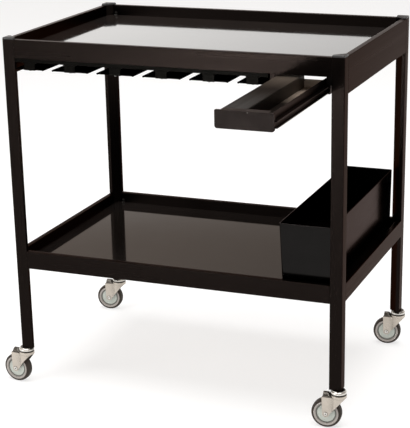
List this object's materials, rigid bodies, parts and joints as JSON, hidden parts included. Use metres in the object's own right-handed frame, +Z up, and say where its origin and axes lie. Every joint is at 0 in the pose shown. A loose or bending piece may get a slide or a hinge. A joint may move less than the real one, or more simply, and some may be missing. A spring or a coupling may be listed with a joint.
{
  "type": "food service trolley",
  "caption": "Two-tier serving trolley in dark bronze aluminium with glass rack, pull-out drawer, lift-out bottle box and swivel castors.",
  "frame": {"origin": "on the floor, under the middle of the frame", "axes": "+Z up, +X to the right, -Y towards the front, where the drawer comes out"},
  "size_m": [0.9731, 0.9935, 0.947],
  "materials": {
    "frame": "dark bronze anodised aluminium, satin",
    "black_plastic": "black moulded plastic",
    "panel_gloss": "high-gloss near-black laminate",
    "rack_black": "black anodised, satin",
    "zinc": "bright zinc plate",
    "fork_zinc": "zinc-plated pressed steel",
    "runner_steel": "black powder coat",
    "drawer_bronze": "dark bronze anodised, satin",
    "box_black": "black semi-gloss enamel",
    "mat_rubber": "matt black rubber",
    "hub_plastic": "pale grey-green moulded plastic",
    "tyre_rubber": "grey non-marking rubber"
  },
  "bodies": {
    "frame": {"leg_front_left": "frame", "leg_front_right": "frame", "leg_rear_left": "frame", "leg_rear_right": "frame", "upper_front_rail": "frame", "upper_rear_rail": "frame", "upper_left_rail": "frame", "upper_right_rail": "frame", "lower_front_rail": "frame", "lower_rear_rail": "frame", "lower_left_rail": "frame", "lower_right_rail": "frame", "leg_caps": "black_plastic", "leg_inserts": "black_plastic", "top_panel": "panel_gloss", "lower_panel": "panel_gloss", "corner_plates": "zinc", "corner_screws": "zinc", "rack_front_bar": "rack_black", "rack_rear_bar": "rack_black", "rack_rail_1": "rack_black", "rack_rail_2": "rack_black", "rack_rail_3": "rack_black", "rack_rail_4": "rack_black", "rack_rail_5": "rack_black", "rack_rail_6": "rack_black", "rack_screws": "zinc", "runner_left": "runner_steel", "runner_right": "runner_steel", "castor_fl_head": "zinc", "castor_fr_head": "zinc", "castor_rl_head": "zinc", "castor_rr_head": "zinc"},
    "drawer": {"drawer_tray": "drawer_bronze", "drawer_front": "drawer_bronze", "drawer_shelf_plate": "drawer_bronze", "drawer_slides": "runner_steel", "drawer_screws": "zinc"},
    "bottle_box": {"bottle_box": "box_black", "box_mat": "mat_rubber", "box_feet": "mat_rubber"},
    "castor_fl": {"castor_fl_fork": "fork_zinc", "castor_fl_axle": "zinc"},
    "wheel_fl": {"castor_fl_hub": "hub_plastic", "castor_fl_tyre": "tyre_rubber"},
    "castor_fr": {"castor_fr_fork": "fork_zinc", "castor_fr_axle": "zinc"},
    "wheel_fr": {"castor_fr_hub": "hub_plastic", "castor_fr_tyre": "tyre_rubber"},
    "castor_rl": {"castor_rl_fork": "fork_zinc", "castor_rl_axle": "zinc"},
    "wheel_rl": {"castor_rl_hub": "hub_plastic", "castor_rl_tyre": "tyre_rubber"},
    "castor_rr": {"castor_rr_fork": "fork_zinc", "castor_rr_axle": "zinc"},
    "wheel_rr": {"castor_rr_hub": "hub_plastic", "castor_rr_tyre": "tyre_rubber"}
  },
  "joints": [
    {"name": "drawer_slide", "type": "slide", "parent": "frame", "child": "drawer", "axis": [0, 1, 0], "range_m": [0, 0.372]},
    {"name": "bottle_box_lift", "type": "slide", "parent": "frame", "child": "bottle_box", "axis": [0, 0, 1], "range_m": [0, 0.25]},
    {"name": "castor_fl_swivel", "type": "hinge", "parent": "frame", "child": "castor_fl", "pos_m": [-0.4415, -0.296, 0.09], "axis": [0, 0, 1], "continuous": true},
    {"name": "wheel_fl_roll", "type": "hinge", "parent": "castor_fl", "child": "wheel_fl", "pos_m": [-0.47139, -0.29339, 0.039], "axis": [0.0872, 0.9962, 0], "continuous": true},
    {"name": "castor_fr_swivel", "type": "hinge", "parent": "frame", "child": "castor_fr", "pos_m": [0.4415, -0.296, 0.09], "axis": [0, 0, 1], "continuous": true},
    {"name": "wheel_fr_roll", "type": "hinge", "parent": "castor_fr", "child": "wheel_fr", "pos_m": [0.41157, -0.29809, 0.039], "axis": [-0.0698, 0.9976, 0], "continuous": true},
    {"name": "castor_rl_swivel", "type": "hinge", "parent": "frame", "child": "castor_rl", "pos_m": [-0.4415, 0.296, 0.09], "axis": [0, 0, 1], "continuous": true},
    {"name": "wheel_rl_roll", "type": "hinge", "parent": "castor_rl", "child": "wheel_rl", "pos_m": [-0.47128, 0.29234, 0.039], "axis": [-0.1219, 0.9925, 0], "continuous": true},
    {"name": "castor_rr_swivel", "type": "hinge", "parent": "frame", "child": "castor_rr", "pos_m": [0.4415, 0.296, 0.09], "axis": [0, 0, 1], "continuous": true},
    {"name": "wheel_rr_roll", "type": "hinge", "parent": "castor_rr", "child": "wheel_rr", "pos_m": [0.41166, 0.29286, 0.039], "axis": [-0.1045, 0.9945, 0], "continuous": true}
  ]
}
